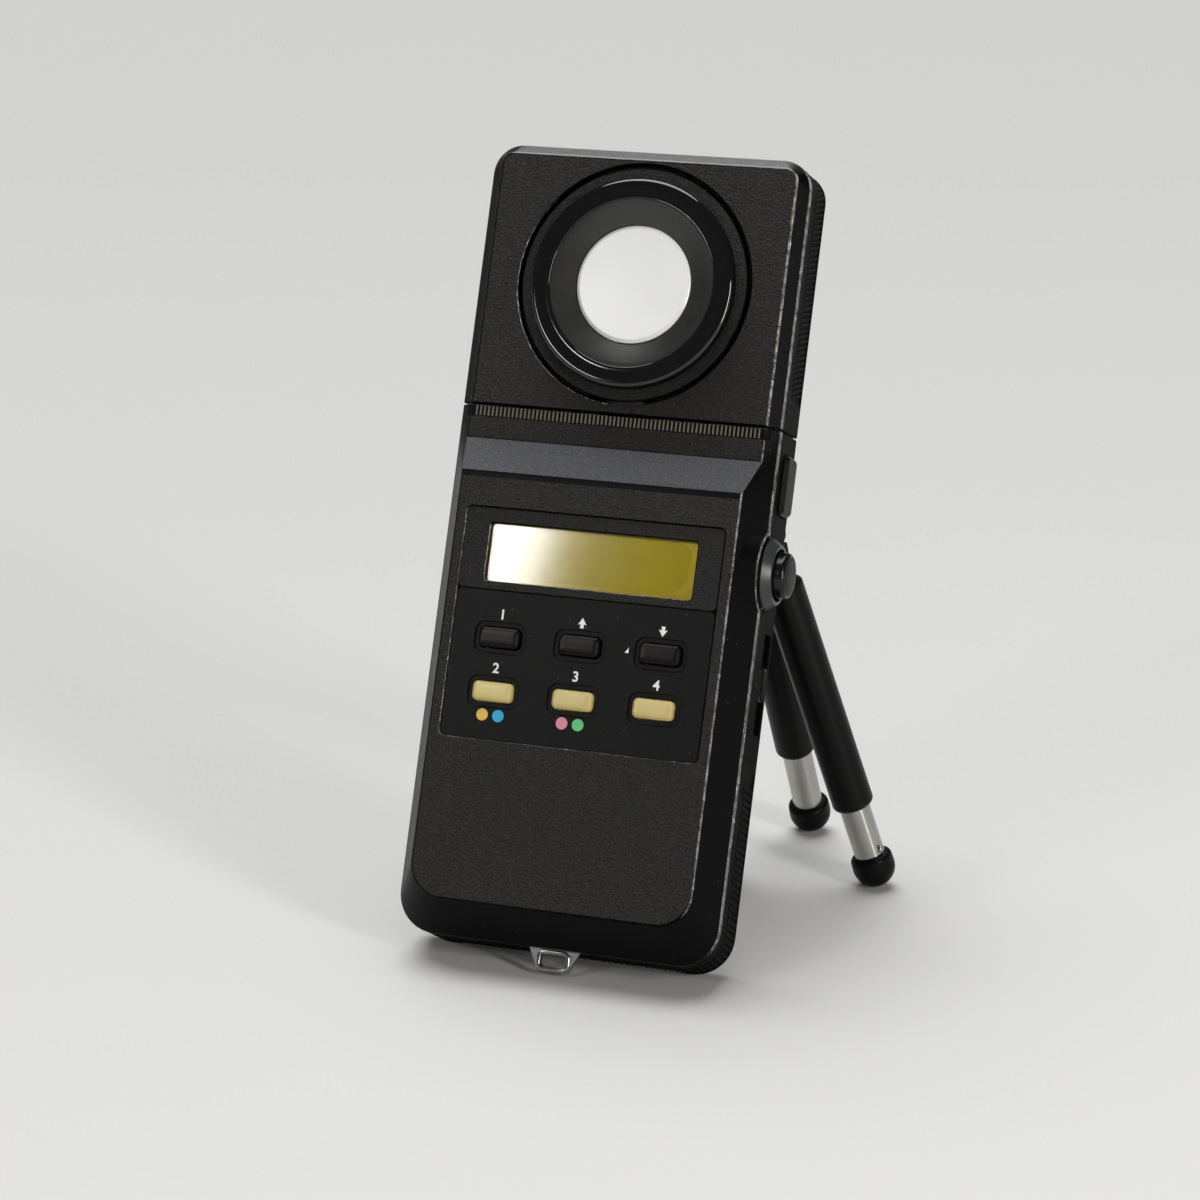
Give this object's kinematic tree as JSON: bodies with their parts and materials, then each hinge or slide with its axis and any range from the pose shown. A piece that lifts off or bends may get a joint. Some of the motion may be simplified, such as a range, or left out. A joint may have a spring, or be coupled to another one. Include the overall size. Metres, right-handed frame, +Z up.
{
  "type": "color meter",
  "caption": "Hand-held photographic color meter with a round white receptor in a swivelling head, a display, push keys and side controls, propped on a pocket tripod.",
  "frame": {"origin": "middle of the footprint, on the floor", "axes": "+Z up from the floor; the meter's front faces -Y and leans back; +X to the right as seen from the front"},
  "size_m": [0.091, 0.114, 0.1659],
  "materials": {
    "body_shell": "satin",
    "head_shell": "satin",
    "strip": "satin",
    "panel": "matte",
    "surround": "textured",
    "window": "gloss",
    "lcd": "gloss",
    "white_plastic": "matte",
    "contact_rubber": "matte",
    "silicone": "matte",
    "circuit_board": "satin",
    "chip": "matte",
    "dark_key": "satin",
    "cream_key": "satin",
    "button": "gloss",
    "collar": "satin",
    "cover_pad": "gloss",
    "battery_case": "satin",
    "chrome": "polished",
    "steel": "satin",
    "brass": "satin",
    "receptor": "textured",
    "bezel": "gloss",
    "dish": "satin",
    "diffuser": "satin",
    "filter": "gloss",
    "cell": "satin",
    "stand_black": "satin",
    "foot_rubber": "matte"
  },
  "bodies": {
    "body": {"body_front_shell": "body_shell", "body_rear_shell": "body_shell", "ribbed_strip": "strip", "key_plate": "panel", "display_surround": "surround", "display_window": "window", "lcd_glass": "lcd", "display_frame": "white_plastic", "contact_strips": "contact_rubber", "key_mat": "silicone", "main_board": "circuit_board", "processor_chip": "chip", "amplifier_chips": "chip", "measure_collar": "collar", "measure_switch": "chip", "slide_switch": "white_plastic", "terminal_cover": "cover_pad", "accessory_socket": "chip", "battery": "battery_case", "battery_snap": "chip", "strap_eyelet": "chrome", "case_screws": "steel", "socket_insert": "brass"},
    "head": {"head_front_shell": "head_shell", "head_rear_shell": "head_shell", "neck_tube": "steel", "neck_clip": "steel", "receptor_plate": "receptor", "bezel_ring": "bezel", "baffle_cone": "dish", "diffuser": "diffuser", "filter_holder": "chip", "color_filters": "filter", "photocells": "cell", "sensor_board": "circuit_board", "head_screws": "steel"},
    "film_key": {"film_key": "dark_key"},
    "up_key": {"up_key": "dark_key"},
    "down_key": {"down_key": "dark_key"},
    "balance_key": {"balance_key": "cream_key"},
    "compensation_key": {"compensation_key": "cream_key"},
    "kelvin_key": {"kelvin_key": "cream_key"},
    "measure_button": {"measure_button": "button"},
    "slide_knob": {"slide_knob": "body_shell"},
    "battery_cover": {"battery_cover": "body_shell"},
    "stand_mount": {"stand_screw": "steel"},
    "stand_head": {"ball_cup": "stand_black", "tripod_hub": "stand_black", "leg_pins": "steel"},
    "clamp_knob": {"clamp_knob": "stand_black"},
    "leg_1": {"leg_sleeve_1": "stand_black"},
    "leg_1_end": {"leg_tube_1": "chrome", "leg_foot_1": "foot_rubber"},
    "leg_2": {"leg_sleeve_2": "stand_black"},
    "leg_2_end": {"leg_tube_2": "chrome", "leg_foot_2": "foot_rubber"},
    "leg_3": {"leg_sleeve_3": "stand_black"},
    "leg_3_end": {"leg_tube_3": "chrome", "leg_foot_3": "foot_rubber"}
  },
  "joints": [
    {"name": "head_swivel", "type": "hinge", "parent": "body", "child": "head", "pos_m": [-0.00945, -0.00357, 0.11028], "axis": [0, 0.3778, 0.9259], "range_deg": [-180, 90]},
    {"name": "film_key_press", "type": "slide", "parent": "body", "child": "film_key", "axis": [0, 0.9259, -0.3778], "range_m": [0, 0.0008], "stiffness_N_per_m": 600, "springref_m": -0.0006},
    {"name": "up_key_press", "type": "slide", "parent": "body", "child": "up_key", "axis": [0, 0.9259, -0.3778], "range_m": [0, 0.0008], "stiffness_N_per_m": 600, "springref_m": -0.0006},
    {"name": "down_key_press", "type": "slide", "parent": "body", "child": "down_key", "axis": [0, 0.9259, -0.3778], "range_m": [0, 0.0008], "stiffness_N_per_m": 600, "springref_m": -0.0006},
    {"name": "balance_key_press", "type": "slide", "parent": "body", "child": "balance_key", "axis": [0, 0.9259, -0.3778], "range_m": [0, 0.0008], "stiffness_N_per_m": 600, "springref_m": -0.0006},
    {"name": "compensation_key_press", "type": "slide", "parent": "body", "child": "compensation_key", "axis": [0, 0.9259, -0.3778], "range_m": [0, 0.0008], "stiffness_N_per_m": 600, "springref_m": -0.0006},
    {"name": "kelvin_key_press", "type": "slide", "parent": "body", "child": "kelvin_key", "axis": [0, 0.9259, -0.3778], "range_m": [0, 0.0008], "stiffness_N_per_m": 600, "springref_m": -0.0006},
    {"name": "measure_press", "type": "slide", "parent": "body", "child": "measure_button", "axis": [-1, 0, 0], "range_m": [0, 0.0012], "stiffness_N_per_m": 700, "springref_m": -0.001},
    {"name": "slide_select", "type": "slide", "parent": "body", "child": "slide_knob", "axis": [0, 0.3778, 0.9259], "range_m": [-0.005, 0.005]},
    {"name": "battery_cover_slide", "type": "slide", "parent": "body", "child": "battery_cover", "axis": [0, -0.3778, -0.9259], "range_m": [0, 0.012]},
    {"name": "stand_turn", "type": "hinge", "parent": "body", "child": "stand_mount", "pos_m": [0.00975, -0.0002, 0.09605], "axis": [0, 0.9259, -0.3778], "range_deg": [-30, 30]},
    {"name": "stand_tilt", "type": "hinge", "parent": "stand_mount", "child": "stand_head", "pos_m": [0.00975, 0.01119, 0.09141], "axis": [0.9898, 0.0539, 0.1321], "range_deg": [-18, 28]},
    {"name": "clamp_turn", "type": "hinge", "parent": "stand_head", "child": "clamp_knob", "pos_m": [0.00202, 0.01077, 0.09038], "axis": [-0.9898, -0.0539, -0.1321], "range_deg": [0, 270]},
    {"name": "leg_1_spread", "type": "hinge", "parent": "stand_head", "child": "leg_1", "pos_m": [0.01934, 0.01127, 0.07735], "axis": [-0.3379, -0.9111, -0.236], "range_deg": [-10, 15]},
    {"name": "leg_1_extend", "type": "slide", "parent": "leg_1", "child": "leg_1_end", "axis": [0.2786, 0.1427, -0.9497], "range_m": [-0.01, 0.019]},
    {"name": "leg_2_spread", "type": "hinge", "parent": "stand_head", "child": "leg_2", "pos_m": [0.01003, 0.02239, 0.07859], "axis": [0.9776, 0.1473, 0.1505], "range_deg": [-10, 15]},
    {"name": "leg_2_extend", "type": "slide", "parent": "leg_2", "child": "leg_2_end", "axis": [0.0862, 0.3725, -0.924], "range_m": [-0.0134, 0.016]},
    {"name": "leg_3_spread", "type": "hinge", "parent": "stand_head", "child": "leg_3", "pos_m": [0.00512, 0.00913, 0.07516], "axis": [-0.6397, 0.7639, 0.0855], "range_deg": [-10, 15]},
    {"name": "leg_3_extend", "type": "slide", "parent": "leg_3", "child": "leg_3_end", "axis": [-0.0154, 0.0984, -0.995], "range_m": [-0.0043, 0.024]}
  ]
}
